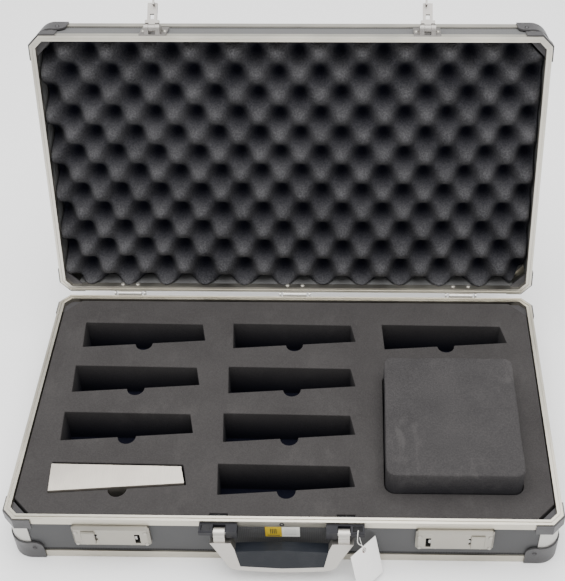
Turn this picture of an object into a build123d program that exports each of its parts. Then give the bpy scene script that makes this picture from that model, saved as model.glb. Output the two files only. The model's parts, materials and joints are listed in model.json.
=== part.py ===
"""Miniature carry case: an aluminium-framed attache case with foam-lined base and lid.

Frame: millimetres, +Z up, front of the case towards -Y. The origin is the middle of the
flat underside of the base. The lid stands open, as it is stored.
Base and lid are the same kind of shell. Each is modelled in the shell's own frame: x along
the width, y along the depth, z from the outer face up to the rim.
"""
import os
from math import cos, radians, sin, sqrt, tan

from build123d import *

os.makedirs("parts", exist_ok=True)

# ---- overall sizes -------------------------------------------------------------------
CASE_WIDTH = 500.0
CASE_DEPTH = 280.0
BASE_HEIGHT = 60.0
LID_HEIGHT = 42.0
OPEN_ANGLE = 105.2
RIM_GAP = 0.4

# ---- sheet, panel and extrusion sizes ------------------------------------------------
SKIN = 1.3
PANEL = 3.2
RIM_LEG = 1.0
RIM_TOP = 1.5
FLANGE_DEPTH = 8.0
RIM_CHAMFER = 10.0
GROOVE_WIDTH = 1.0
GROOVE_DEPTH = 0.8
TRIM_HEIGHT = 9.5
TRIM_FOOT = 12.0
TRIM_FLOOR = 1.2
POST_RADIUS = 17.2
POST_REACH = 20.0
WRAP_REACH = 25.0
WRAP_HEIGHT = 11.5
WRAP_DROP = 1.5
WRAP_WALL = 1.5
BALL_REACH = 30.5
BALL_HEIGHT = 23.0
BALL_BAND = 19.0
BALL_LOBE = 8.3
BALL_RIVET_Z = 15.5
BALL_WALL = 1.6
GUSSET = 1.6
GUSSET_DROP = 5.0
GUSSET_LINE = 27.0
CLEAR = 0.2

# ---- foam ----------------------------------------------------------------------------
FOAM_GAP = 0.9
FOAM_DROP = 2.0
FOAM_CHAMFER = 17.1
LID_FOAM_DROP = 2.0
POCKET_LENGTH = 122.3
POCKET_SKEW = 5.0
POCKET_LEFT = 34.2
POCKET_RIGHT = 22.4
POCKET_LEAN = 1.6
POCKET_DEPTH = 40.0
POCKET_PITCH_X = 154.5
POCKET_PITCH_Y = 59.4
POCKET_START_X = -217.0
POCKET_START_Y = 101.8
POCKET_ROWS = 4
NOTCH_RADIUS = 8.5
NOTCH_DEPTH = 24.0
PAD_CENTRE = (154.8, -36.5)
PAD_LENGTH = 125.0
PAD_DEPTH = 140.0
PAD_RISE = 27.0
PAD_SEAT = 20.0
PAD_RADIUS = 9.0
PAD_CLEAR = 0.8
BLOCK_PROUD = 2.5
BLOCK_BACK = 3.5
BLOCK_SIDE = 1.0
BLOCK_CLEAR = 0.4
SOFT_GAP = 0.3

# ---- hinges --------------------------------------------------------------------------
HINGE_SPACING = 176.5
HINGE_GAP = 0.25
BARREL_RADIUS = 2.5
BARREL_LENGTH = 25.0
HINGE_PIN_RADIUS = 1.2
PIN_CLEAR = 0.05
LEAF = 1.1
LEAF_HEIGHT = 10.0
STOP_ARM_OFFSET = 15.7
STOP_ARM_WIDTH = 1.6
STOP_ARM_DEPTH = 7.0
STOP_GAP = 0.2
HINGE_RIVET_PITCH = 16.0
RIVET_HEAD = 2.4
RIVET_SHANK = 1.2
RIVET_RISE = 1.1
RIVET_TAPER = 35.0

# ---- locks ---------------------------------------------------------------------------
LOCK_OFFSET = 154.2
LOCK_WIDTH = 70.0
LOCK_DROP = 8.5
LOCK_HEIGHT = 27.5
LOCK_RISE = 4.0
LOCK_WALL = 1.0
LOCK_SIDE = 2.6
LOCK_BEVEL = 2.2
LOCK_CORNER = 2.6
BUTTON_OFFSET = 20.4
BUTTON_WIDTH = 12.4
BUTTON_HEIGHT = 17.5
BUTTON_RISE = 2.0
BUTTON_TRAVEL = 4.0
STEM_WIDTH = 8.0
STEM_HEIGHT = 9.0
BUTTON_DROP = 13.5
SLOT_OFFSET = -23.7
SLOT_WIDTH = 4.8
SLOT_HEIGHT = 13.6
SLOT_DROP = 15.5
BAR_GAP = 0.3
BAR_HEIGHT = 5.0
BAR_THICKNESS = 1.4
CATCH_SHOW = 2.0
WHEEL_RADIUS = 4.2
WHEEL_WIDTH = 7.0
WHEEL_PITCH = 13.8
WHEEL_OFFSET = 3.4
WHEEL_PEEK = 2.0
WHEEL_COUNT = 3
WHEEL_NOTCHES = 10
AXLE_RADIUS = 1.1
LOCK_RIVET_X = 31.4
LOCK_RIVET_Z = 8.5
LOCK_RIVET_DROP = 15.3
LOCK_RIVET_HEAD = 1.9
LOCK_RIVET_RISE = 0.6
WINDOW_HALF = 29.0
RIB = 1.2

# ---- hasps on the lid ----------------------------------------------------------------
HASP_OFFSET = 131.0
HASP_WIDTH = 26.0
HASP_REACH = 25.0
HASP_RIVET_X = 10.3
HASP_RIVET_DROP = 12.0
HASP_PLATE = 1.4
EAR_WIDTH = 4.2
EAR_GAP = 6.6
EAR_RADIUS = 4.2
EAR_REACH = 17.0
LEVER_OUT = 6.8
LEVER_FROM_RIM = 3.5
LEVER_WIDTH = 9.2
LEVER_SHOULDER = 13.5
LEVER_LENGTH = 24.5
LEVER_THICKNESS = 3.2
LEVER_OPEN = 126.0
HASP_PIN_RADIUS = 1.2
LEVER_BARREL = 3.9
LEVER_WINDOW_WIDTH = 4.0
LEVER_WINDOW_LENGTH = 5.0
LEVER_WINDOW_AT = 11.0
LEVER_TAB = 9.0
LEVER_TAB_RISE = 0.8
HOOK_WIDTH = 1.9
HOOK_LENGTH = 2.5
HOOK_REACH = 4.8
BARB = 3.0
BARB_THICKNESS = 0.7
HOOK_SHIFT = 1.55
HOOK_FROM_END = 0.5

# ---- handle --------------------------------------------------------------------------
BRACKET_INNER = 39.5
BRACKET_OUTER = 73.5
BRACKET_DROP = 2.5
BRACKET_HEIGHT = 11.0
BRACKET_LIP = 1.0
BRACKET_PLATE = 1.8
BRACKET_BLOCK = 10.2
BRACKET_RISE = 9.5
BRACKET_EAR = 2.2
EYE_RISE = 10.0
EYE_WALL = 1.8
EYE_HEIGHT = 5.5
EYE_GAP = 8.5
HANDLE_PIN_LENGTH = 20.6
PIVOT_OUT = 7.0
PIVOT_DROP = 5.0
HANDLE_LEAN = 15.0
HANDLE_REACH = 41.2
HANDLE_THICKNESS = 10.0
HANDLE_TOP = 7.8
HANDLE_OUTER_TOP = 64.0
HANDLE_OUTER_LOW = 50.0
HANDLE_INNER_TOP = 45.0
HANDLE_INNER_LOW = 39.5
BOSS_RADIUS = 4.8
TAB_WIDTH = 10.0
GRIP_TOP = 14.5
GRIP_BOTTOM = 34.0
GRIP_GROWTH = 0.9
HANDLE_PIN_RADIUS = 1.6
BACKING_WIDTH = 15.0
BACKING_OFFSET = 57.0
BACKING_DEPTH = 2.8
BACKING_HEIGHT = 21.5
BACKING_ROOM = 2.0
SCREW_DROPS = (2.5, 7.5)
SCREW_LENGTH = 9.8
SCREW_HEAD = 1.0
SCREW_TIP_GAP = 0.5

# ---- label and hang tag --------------------------------------------------------------
LABEL_WIDTH = 31.0
LABEL_HEIGHT = 16.0
LABEL_DROP = 17.0
LABEL_THICKNESS = 0.2
RING_RADIUS = 2.2
RING_BORE = 1.2
RING_RISE = 0.5
RING_DROP = 4.0
TAG_X = 73.0
TAG_OUT = 15.0
TAG_DROP = 17.5
TAG_TURN = 53.2
TAG_LEAN = 21.3
TAG_ROLL = -9.3
TAG_WIDTH = 34.0
TAG_LENGTH = 40.0
TAG_THICKNESS = 0.5
TAG_HOLE = 1.6
TAG_HOLE_DROP = 4.0
STRING_RADIUS = 0.35
STRING_STANDOFF = 1.3
STRING_SPREAD = 0.65
STRING_END = 1.0
BEND_SHARE = 0.45
STRING_LOOP = 3.9
STRING_X = 67.8
STRING_DROP = 8.0

# ---- derived places ------------------------------------------------------------------
HALF_W = CASE_WIDTH / 2
HALF_D = CASE_DEPTH / 2
INNER = SKIN + PANEL + RIM_LEG
PANEL_IN = SKIN + PANEL
FRONT = -HALF_D
PANEL_FACE = FRONT + SKIN
SEAM = BASE_HEIGHT + RIM_GAP / 2
LOCK_TOP = BASE_HEIGHT - LOCK_DROP
LOCK_BOTTOM = LOCK_TOP - LOCK_HEIGHT
LOCK_RIVET_MID = LOCK_TOP - LOCK_RIVET_DROP
BUTTON_Z = LOCK_TOP - BUTTON_DROP
SLOT_Z = LOCK_TOP - SLOT_DROP
BRACKET_TOP = BASE_HEIGHT - BRACKET_DROP
BRACKET_BOTTOM = BRACKET_TOP - BRACKET_HEIGHT
BACKING_LOW = BRACKET_TOP - BACKING_HEIGHT
PIVOT_Z = BRACKET_TOP - PIVOT_DROP
LABEL_Z = BASE_HEIGHT - LABEL_DROP
TAG_HANG = (TAG_X, FRONT - TAG_OUT, BRACKET_TOP - TAG_DROP)
HINGE_OUT = BARREL_RADIUS + HINGE_GAP
HINGE_Y = HALF_D + HINGE_OUT
HINGE = Pos(0, HINGE_Y, SEAM)

BASE = Plane.XY
LID_CLOSED = Plane(
    origin=(0, 0, BASE_HEIGHT + RIM_GAP + LID_HEIGHT), x_dir=(1, 0, 0), z_dir=(0, 0, -1)
)
LID = Plane(HINGE * Rot(X=-OPEN_ANGLE) * HINGE.inverse() * LID_CLOSED.location)


def on(shell, plane):
    """A plane given in a shell's own frame, placed in the case."""
    return Plane(shell.location * plane.location)


def level(shell, height):
    """The shell's plane parallel to its outer face at this height."""
    return on(shell, Plane.XY.offset(height))


def wall(shell, y, x=0.0, z=0.0):
    """A plane along the width: local x across, local y up to the rim, normal -y."""
    return on(shell, Plane(origin=(x, y, z), x_dir=(1, 0, 0), z_dir=(0, -1, 0)))


def cross(shell, x, y=0.0, z=0.0):
    """A plane across the width: local x along y, local y along z, normal +x."""
    return on(shell, Plane(origin=(x, y, z), x_dir=(0, 1, 0), z_dir=(1, 0, 0)))


def chamfered(inset, mode=Mode.ADD):
    """The rim's outline with cut corners, this far inside the skin."""
    w = HALF_W - inset
    d = HALF_D - inset
    leg = RIM_CHAMFER - inset * (2 - sqrt(2))
    right = [(w - leg, -d), (w, -d + leg), (w, d - leg), (w - leg, d)]
    left = [(-w + leg, d), (-w, d - leg), (-w, -d + leg), (-w + leg, -d)]
    Polygon(*right, *left, align=None, mode=mode)


def rounded(inset, mode=Mode.ADD):
    """The body's outline with round corners, this far inside the skin."""
    RectangleRounded(
        CASE_WIDTH - 2 * inset, CASE_DEPTH - 2 * inset, POST_RADIUS - inset, mode=mode
    )


def band(shell, outline, outer, inner, low, high, mode=Mode.ADD):
    """A band of an outline between two insets and two heights."""
    with BuildSketch(level(shell, low)) as plan:
        outline(outer)
        outline(inner, Mode.SUBTRACT)
    extrude(plan.sketch, amount=high - low, mode=mode)


def block(shell, low, high, mode=Mode.ADD):
    """A box in a shell's frame between two corners."""
    with BuildSketch(level(shell, low[2])) as plan:
        with Locations(((low[0] + high[0]) / 2, (low[1] + high[1]) / 2)):
            Rectangle(abs(high[0] - low[0]), abs(high[1] - low[1]))
    extrude(plan.sketch, amount=high[2] - low[2], mode=mode)


def rod(plane, radius, length, mode=Mode.ADD, both=True):
    """A round bar centred on a plane, or standing on it."""
    with BuildSketch(plane) as section:
        Circle(radius)
    extrude(section.sketch, amount=length / 2 if both else length, both=both, mode=mode)


def rivet(plane, radius, rise, shank=0.0):
    """A domed rivet head standing on a plane, with its shank behind the plane."""
    with BuildSketch(plane) as section:
        Circle(radius)
    extrude(section.sketch, amount=rise, taper=RIVET_TAPER)
    if shank:
        with BuildSketch(plane) as core:
            Circle(RIVET_SHANK)
        extrude(core.sketch, amount=-shank)


def four_corners(shell):
    """Mirror a corner piece to all four corners of a shell."""
    mirror(about=on(shell, Plane.YZ))
    mirror(about=on(shell, Plane.XZ))


def save(piece, name):
    """Name a finished piece and write it."""
    piece.part.label = name
    export_step(piece.part, f"parts/{name}.step")


def make_panels(shell, name, height, hinge_side):
    """The outer panel and four wall panels of one shell."""
    top = height - RIM_TOP
    wall_x = HALF_W - POST_RADIUS
    wall_y = HALF_D - POST_RADIUS
    with BuildPart() as outer:
        with BuildSketch(level(shell, TRIM_FLOOR)) as plan:
            Rectangle(CASE_WIDTH - 2 * PANEL_IN, CASE_DEPTH - 2 * PANEL_IN)
            chamfer(plan.vertices(), POST_RADIUS / 2)
        extrude(amount=PANEL)
    save(outer, f"{name}_bottom_panel" if shell is BASE else f"{name}_top_panel")
    for side, turn in (("front", -hinge_side), ("back", hinge_side)):
        near = turn * (HALF_D - SKIN)
        far = turn * (HALF_D - PANEL_IN)
        with BuildPart() as panel:
            block(shell, (-wall_x, near, TRIM_FLOOR), (wall_x, far, top))
            drill_shell(shell)
            if shell is BASE and side == "front":
                cut_lock_windows()
        save(panel, f"{name}_{side}_panel")
    for side, turn in (("left", -1), ("right", 1)):
        near = turn * (HALF_W - SKIN)
        far = turn * (HALF_W - PANEL_IN)
        with BuildPart() as panel:
            block(shell, (near, -wall_y, TRIM_FLOOR), (far, wall_y, top))
            drill_shell(shell)
        save(panel, f"{name}_{side}_panel")


def make_rim(shell, name, height):
    """The extruded aluminium rim: outer flange, grooved top web and inner leg."""
    low = height - FLANGE_DEPTH
    groove = (INNER - GROOVE_WIDTH) / 2
    with BuildPart() as rim:
        band(shell, chamfered, 0, SKIN, low, height)
        band(shell, chamfered, 0, INNER, height - RIM_TOP, height)
        band(shell, chamfered, PANEL_IN, INNER, low, height)
        floor = height - GROOVE_DEPTH
        band(shell, chamfered, groove, groove + GROOVE_WIDTH, floor, height, Mode.SUBTRACT)
        drill_shell(shell)
    save(rim, f"{name}_rim")


def make_trim(shell, name):
    """The L-shaped edge trim round the outer face."""
    with BuildPart() as trim:
        band(shell, rounded, 0, SKIN, 0, TRIM_HEIGHT)
        band(shell, rounded, 0, TRIM_FOOT, 0, TRIM_FLOOR)
    save(trim, f"{name}_edge_trim")


def make_posts(shell, name, height):
    """Round corner posts between the edge trim and the rim."""
    mid_x = HALF_W - POST_REACH
    mid_y = HALF_D - POST_REACH
    with BuildPart() as posts:
        band(shell, rounded, 0, SKIN, TRIM_HEIGHT, height - FLANGE_DEPTH)
        block(shell, (-mid_x, -HALF_D, 0), (mid_x, HALF_D, height), Mode.SUBTRACT)
        block(shell, (-HALF_W, -mid_y, 0), (HALF_W, mid_y, height), Mode.SUBTRACT)
    save(posts, f"{name}_corner_posts")


def corner_square(reach, wall_thickness):
    """Keep the part of a sketch that lies within this reach of the front left corner."""
    middle = reach / 2 - wall_thickness
    size = reach + 2 * wall_thickness
    with Locations((middle - HALF_W, middle - HALF_D)):
        Rectangle(size, size, mode=Mode.INTERSECT)


def make_frame_corners(shell, name, height):
    """Thin plastic corners wrapped round the outside of the rim."""
    with BuildPart() as wraps:
        with BuildSketch(level(shell, height - WRAP_DROP - WRAP_HEIGHT)):
            chamfered(-WRAP_WALL)
            chamfered(0, Mode.SUBTRACT)
            corner_square(WRAP_REACH, WRAP_WALL)
        extrude(amount=WRAP_HEIGHT)
        four_corners(shell)
    save(wraps, f"{name}_frame_corners")


def ball_cut(plane):
    """Trim one flank of a ball corner to its band, its foot and its rivet lobe."""
    rivet_x = BALL_REACH - BALL_LOBE
    with BuildSketch(plane) as flank:
        Rectangle(BALL_REACH * 2, BALL_REACH * 2, align=(Align.MIN, Align.MIN))
        Rectangle(BALL_BAND, BALL_HEIGHT, align=(Align.MIN, Align.MIN), mode=Mode.SUBTRACT)
        Rectangle(
            BALL_REACH, BALL_RIVET_Z, align=(Align.MIN, Align.MIN), mode=Mode.SUBTRACT
        )
        with Locations((rivet_x, BALL_RIVET_Z)):
            Circle(BALL_LOBE, mode=Mode.SUBTRACT)
    extrude(flank.sketch, amount=POST_RADIUS / 3, both=True, mode=Mode.SUBTRACT)


def make_ball_corners(shell, name):
    """Black ball corners with a rivet lobe on each flank."""
    with BuildPart() as balls:
        with BuildSketch(level(shell, 0)):
            rounded(-BALL_WALL)
            rounded(0, Mode.SUBTRACT)
            corner_square(BALL_REACH, BALL_WALL)
        extrude(amount=BALL_RIVET_Z + BALL_LOBE + BALL_WALL)
        ball_cut(wall(shell, -HALF_D, -HALF_W))
        ball_cut(cross(shell, -HALF_W, -HALF_D))
        four_corners(shell)
        drill(ball_rivet_planes(shell), BALL_WALL)
    save(balls, f"{name}_ball_corners")


def make_gussets(shell, name, height):
    """Flat triangular gussets inside the rim's corners."""
    corner = (-HALF_W, -HALF_D)
    along = (-HALF_W + GUSSET_LINE, -HALF_D)
    up = (-HALF_W, -HALF_D + GUSSET_LINE)
    with BuildPart() as gussets:
        with BuildSketch(level(shell, height - GUSSET_DROP - GUSSET)):
            Polygon(corner, along, up, align=None)
            chamfered(INNER, Mode.INTERSECT)
        extrude(amount=GUSSET)
        four_corners(shell)
    save(gussets, f"{name}_corner_gussets")


def ball_rivet_planes(shell):
    """Planes standing on the ball corners' outer faces at their eight rivets."""
    along = BALL_REACH - BALL_LOBE
    out = BALL_WALL
    planes = []
    for x in (-1, 1):
        for y in (-1, 1):
            front = Plane(
                origin=(x * (HALF_W - along), y * (HALF_D + out), BALL_RIVET_Z),
                x_dir=(1, 0, 0),
                z_dir=(0, y, 0),
            )
            side = Plane(
                origin=(x * (HALF_W + out), y * (HALF_D - along), BALL_RIVET_Z),
                x_dir=(0, 1, 0),
                z_dir=(x, 0, 0),
            )
            planes += [on(shell, front), on(shell, side)]
    return planes


def pocket_outline(column, row):
    """The corners of one tapered pocket, anticlockwise from its front left."""
    x = POCKET_START_X + column * POCKET_PITCH_X
    y = POCKET_START_Y - row * POCKET_PITCH_Y
    back_left = (x, y)
    back_right = (x + POCKET_LENGTH, y - POCKET_LEAN)
    front_right = (x + POCKET_LENGTH + POCKET_SKEW, y - POCKET_LEAN - POCKET_RIGHT)
    front_left = (x + POCKET_SKEW / 2, y - POCKET_LEFT)
    return front_left, front_right, back_right, back_left


def draw_pocket(corners, grow=0.0):
    """A pocket's closed outline, grown or shrunk by a gap."""
    Polygon(*corners, align=None)
    if grow:
        offset(amount=grow, kind=Kind.INTERSECTION, mode=Mode.REPLACE)


def notch_place(corners):
    """The middle of a pocket's front edge."""
    left = corners[0]
    right = corners[1]
    return (left[0] + right[0]) / 2, (left[1] + right[1]) / 2


def open_pockets():
    """The pockets that hold nothing: two full columns and the one behind the pad."""
    places = [(column, row) for column in range(2) for row in range(POCKET_ROWS)]
    return places + [(2, 0)]


def make_base_foam():
    """The foam insert with its pockets, the pad's seat and the backing plates' recesses."""
    low = TRIM_FLOOR + PANEL
    top = BASE_HEIGHT - FOAM_DROP
    inset = INNER + FOAM_GAP
    with BuildPart() as foam:
        with BuildSketch(Plane.XY.offset(low)) as plan:
            Rectangle(CASE_WIDTH - 2 * inset, CASE_DEPTH - 2 * inset)
            chamfer(plan.vertices(), FOAM_CHAMFER)
        extrude(amount=top - low)
        for column, row in open_pockets():
            corners = pocket_outline(column, row)
            with BuildSketch(Plane.XY.offset(top)):
                draw_pocket(corners)
            extrude(amount=-POCKET_DEPTH, mode=Mode.SUBTRACT)
            with BuildSketch(Plane.XY.offset(top)):
                with Locations(notch_place(corners)):
                    Circle(NOTCH_RADIUS)
            extrude(amount=-NOTCH_DEPTH, mode=Mode.SUBTRACT)
        with BuildSketch(Plane.XY.offset(top)):
            with Locations(PAD_CENTRE):
                seat = 2 * PAD_CLEAR
                RectangleRounded(PAD_LENGTH + seat, PAD_DEPTH + seat, PAD_RADIUS + PAD_CLEAR)
        extrude(amount=-PAD_SEAT, mode=Mode.SUBTRACT)
        for turn in (-1, 1):
            half = BACKING_WIDTH / 2 + PAD_CLEAR
            x = turn * BACKING_OFFSET
            deep = FRONT + INNER + BACKING_DEPTH + SCREW_HEAD + 2 * CLEAR
            start = (x - half, FRONT, BACKING_LOW - BACKING_ROOM)
            block(BASE, start, (x + half, deep, BASE_HEIGHT), Mode.SUBTRACT)
    save(foam, "base_foam_insert")


def make_base_contents():
    """The lift-out foam pad and the tapered block in the front left pocket."""
    top = BASE_HEIGHT - FOAM_DROP
    with BuildPart() as pad:
        with BuildSketch(Plane.XY.offset(top + PAD_RISE)):
            with Locations(PAD_CENTRE):
                RectangleRounded(PAD_LENGTH, PAD_DEPTH, PAD_RADIUS)
        extrude(amount=SOFT_GAP - PAD_SEAT - PAD_RISE)
    save(pad, "foam_pad")

    front_left, front_right, back_right, back_left = pocket_outline(0, POCKET_ROWS - 1)
    corners = (
        front_left,
        (front_right[0] - BLOCK_SIDE, front_right[1]),
        (back_right[0] - BLOCK_SIDE, back_right[1] - BLOCK_BACK),
        (back_left[0], back_left[1] - BLOCK_BACK),
    )
    with BuildPart() as wedge:
        with BuildSketch(Plane.XY.offset(top + BLOCK_PROUD)):
            draw_pocket(corners, -BLOCK_CLEAR)
        extrude(amount=SOFT_GAP - POCKET_DEPTH - BLOCK_PROUD)
    save(wedge, "tapered_block")


def make_lid_foam():
    """The lid's foam sheet, as deep as its peaks."""
    low = TRIM_FLOOR + PANEL
    high = LID_HEIGHT - LID_FOAM_DROP
    inset = INNER + 2 * FOAM_GAP
    with BuildPart() as foam:
        with BuildSketch(level(LID, low)) as plan:
            Rectangle(CASE_WIDTH - 2 * inset, CASE_DEPTH - 2 * inset)
            chamfer(plan.vertices(), FOAM_CHAMFER)
        extrude(amount=high - low)
    save(foam, "lid_foam")


def plate(plane, corners, thickness, mode=Mode.ADD):
    """A flat plate of the given outline, centred on a plane."""
    with BuildSketch(plane) as shape:
        Polygon(*corners, align=None)
    extrude(shape.sketch, amount=thickness / 2, both=True, mode=mode)


def drill(planes, depth, radius=RIVET_SHANK + CLEAR / 4):
    """Clearance holes behind each plane for shanks."""
    with Locations(*planes):
        Hole(radius, depth)


# ---- hinges --------------------------------------------------------------------------
HINGE_PLACES = (-HINGE_SPACING, 0.0, HINGE_SPACING)
LEAF_NEAR = SEAM - BARREL_RADIUS - 2 * CLEAR
LEAF_FAR = LEAF_NEAR - LEAF_HEIGHT
LID_SEAM = LID_HEIGHT + RIM_GAP / 2
LID_LEAF_NEAR = LID_SEAM - BARREL_RADIUS - 2 * CLEAR
LID_LEAF_FAR = LID_LEAF_NEAR - LEAF_HEIGHT


def hinge_rivet_planes(shell, y, outward, z):
    """Planes on the hinge leaves' outer faces at their rivets."""
    planes = []
    for x in HINGE_PLACES:
        for turn in (-1, 1):
            place = (x + turn * HINGE_RIVET_PITCH / 2, y, z)
            planes.append(on(shell, Plane(origin=place, x_dir=(1, 0, 0), z_dir=(0, outward, 0))))
    return planes


BASE_HINGE_RIVETS = hinge_rivet_planes(BASE, HALF_D + LEAF, 1, LEAF_NEAR - LEAF_HEIGHT / 3)
LID_HINGE_RIVETS = hinge_rivet_planes(LID, -HALF_D - LEAF, -1, LID_LEAF_NEAR - LEAF_HEIGHT / 4)


def stop_arm(x):
    """An arm on the base leaf that the open lid's back wall comes to rest against."""
    lean = radians(OPEN_ANGLE - 90)
    reach = HINGE_OUT - STOP_GAP
    top = SEAM + BARREL_RADIUS - 0.1
    back = HALF_D + STOP_ARM_DEPTH
    back_top = SEAM + (reach - (back - HINGE_Y) * sin(lean)) / cos(lean)
    corners = (
        (HALF_D, LEAF_FAR),
        (HALF_D + LEAF * 2, LEAF_FAR),
        (back, LEAF_NEAR),
        (back, back_top),
        (HINGE_Y, top),
        (HINGE_Y - BARREL_RADIUS * 0.6, SEAM + BARREL_RADIUS * 0.7),
        (HALF_D, SEAM - 1),
    )
    plate(cross(BASE, x), corners, STOP_ARM_WIDTH)


def make_hinges():
    """Three hinges: base leaves with two knuckles and stop arms, lid leaves and pins."""
    half = BARREL_LENGTH / 2
    third = BARREL_LENGTH / 3
    bore = HINGE_PIN_RADIUS + PIN_CLEAR
    skin = HALF_D
    face = HALF_D + LEAF
    arm = STOP_ARM_OFFSET
    tongue = SEAM - BARREL_RADIUS / 2
    with BuildPart() as base_leaves:
        for x in HINGE_PLACES:
            block(BASE, (x - arm, skin, LEAF_FAR), (x + arm, face, LEAF_NEAR))
            for turn in (-1, 1):
                inner = x + turn * (third / 2 + CLEAR / 2)
                outer = x + turn * half
                block(BASE, (inner, skin, LEAF_NEAR), (outer, face, tongue))
                rod(cross(BASE, (inner + outer) / 2, HINGE_Y, SEAM), BARREL_RADIUS,
                    abs(outer - inner))
                stop_arm(x + turn * arm)
            rod(cross(BASE, x, HINGE_Y, SEAM), bore, 2 * half, Mode.SUBTRACT)
        drill(BASE_HINGE_RIVETS, LEAF)
    save(base_leaves, "hinge_base_leaves")

    lid_tongue = LID_SEAM - BARREL_RADIUS / 2
    with BuildPart() as lid_leaves:
        for x in HINGE_PLACES:
            width = third / 2 - CLEAR / 2
            block(LID, (x - half, -face, LID_LEAF_FAR), (x + half, -skin, LID_LEAF_NEAR))
            block(LID, (x - width, -face, LID_LEAF_NEAR), (x + width, -skin, lid_tongue))
            rod(cross(BASE, x, HINGE_Y, SEAM), BARREL_RADIUS, 2 * width)
            rod(cross(BASE, x, HINGE_Y, SEAM), bore, 2 * half, Mode.SUBTRACT)
        drill(LID_HINGE_RIVETS, LEAF)
    save(lid_leaves, "hinge_lid_leaves")

    with BuildPart() as pins:
        for x in HINGE_PLACES:
            rod(cross(BASE, x, HINGE_Y, SEAM), HINGE_PIN_RADIUS, BARREL_LENGTH)
    save(pins, "hinge_pins")


# ---- locks ---------------------------------------------------------------------------
LOCK_FACE = FRONT - LOCK_RISE
CAVITY_FACE = LOCK_FACE + LOCK_WALL
WHEEL_Y = CAVITY_FACE + CLEAR + WHEEL_RADIUS
WHEEL_Z = LOCK_BOTTOM - WHEEL_PEEK + WHEEL_RADIUS
WHEEL_PLACES = [WHEEL_OFFSET + WHEEL_PITCH * (i - 1) for i in range(WHEEL_COUNT)]
RIB_OFFSET = WHEEL_PITCH * WHEEL_COUNT / 2 - RIB / 2
BAR_FACE = CAVITY_FACE + BAR_GAP
CATCH_END = SLOT_OFFSET + SLOT_WIDTH / 2 - CATCH_SHOW


def lock_x(side, offset):
    """A place across a lock, measured outward from its middle."""
    return side * (LOCK_OFFSET + offset)


def lock_block(side, offsets, depths, heights, mode=Mode.ADD):
    """A box in a lock: outward offsets, y depths and heights."""
    low = (lock_x(side, offsets[0]), depths[0], heights[0])
    high = (lock_x(side, offsets[1]), depths[1], heights[1])
    block(BASE, low, high, mode)


def around(middle, size, gap=0.0):
    """The two ends of a span of this size about its middle, grown by a gap."""
    return middle - size / 2 - gap, middle + size / 2 + gap


def lock_rivet_planes():
    """Planes on both lock plates' faces at their corner rivets."""
    planes = []
    for side in (-1, 1):
        for x in (-LOCK_RIVET_X, LOCK_RIVET_X):
            for z in (LOCK_RIVET_MID - LOCK_RIVET_Z, LOCK_RIVET_MID + LOCK_RIVET_Z):
                place = (lock_x(side, x), LOCK_FACE, z)
                planes.append(Plane(origin=place, x_dir=(1, 0, 0), z_dir=(0, -1, 0)))
    return planes


def wheel_slots(side, heights, depths):
    """Slots that the combination wheels look out of."""
    for place in WHEEL_PLACES:
        offsets = around(place, WHEEL_WIDTH, 2 * CLEAR)
        lock_block(side, offsets, depths, heights, Mode.SUBTRACT)


def cut_lock_windows():
    """Openings in the front panel behind the locks."""
    depths = (PANEL_FACE, FRONT + PANEL_IN)
    top = LOCK_TOP - LOCK_SIDE
    low = LOCK_BOTTOM + LOCK_SIDE
    for side in (-1, 1):
        lock_block(side, (-WINDOW_HALF, WINDOW_HALF), depths, (low, top), Mode.SUBTRACT)
        ribs = around(WHEEL_OFFSET, 2 * RIB_OFFSET, RIB)
        lock_block(side, ribs, depths, (LOCK_BOTTOM, top), Mode.SUBTRACT)
        wheel_slots(side, (WHEEL_Z - WHEEL_RADIUS - CLEAR, top), depths)


def make_lock_plate(side, name):
    """A bevelled hollow lock plate with its windows and the ribs that carry the axle."""
    with BuildPart() as shell:
        lock_block(
            side,
            around(0, LOCK_WIDTH),
            (LOCK_FACE, PANEL_FACE),
            (LOCK_BOTTOM, LOCK_TOP),
        )
        fillet(shell.edges().filter_by(Axis.Y), LOCK_CORNER)
        chamfer(shell.faces().sort_by(Axis.Y)[0].edges(), LOCK_BEVEL)
        inside = around(0, LOCK_WIDTH, -LOCK_SIDE)
        heights = (LOCK_BOTTOM + LOCK_SIDE, LOCK_TOP - LOCK_SIDE)
        lock_block(side, inside, (CAVITY_FACE, PANEL_FACE), heights, Mode.SUBTRACT)
        wheel_slots(side, (LOCK_BOTTOM, WHEEL_Z + AXLE_RADIUS), (CAVITY_FACE, PANEL_FACE))
        low, high = around(BUTTON_OFFSET, STEM_WIDTH, CLEAR)
        front = (LOCK_FACE, CAVITY_FACE)
        tall = around(BUTTON_Z, STEM_HEIGHT, CLEAR)
        lock_block(side, (low - BUTTON_TRAVEL, high), front, tall, Mode.SUBTRACT)
        slot = around(SLOT_OFFSET, SLOT_WIDTH)
        lock_block(side, slot, front, around(SLOT_Z, SLOT_HEIGHT), Mode.SUBTRACT)
        depths = (CAVITY_FACE, WHEEL_Y + 2 * AXLE_RADIUS)
        for turn in (-1, 1):
            rib = around(WHEEL_OFFSET + turn * RIB_OFFSET, RIB)
            lock_block(side, rib, depths, (LOCK_BOTTOM + CLEAR, WHEEL_Z + 2 * AXLE_RADIUS))
        axle = cross(BASE, lock_x(side, WHEEL_OFFSET), WHEEL_Y, WHEEL_Z)
        rod(axle, AXLE_RADIUS, 2 * RIB_OFFSET + 2 * RIB, Mode.SUBTRACT)
        drill(lock_rivet_planes(), LOCK_RISE + SKIN)
    save(shell, f"lock_plate_{name}")


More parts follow.
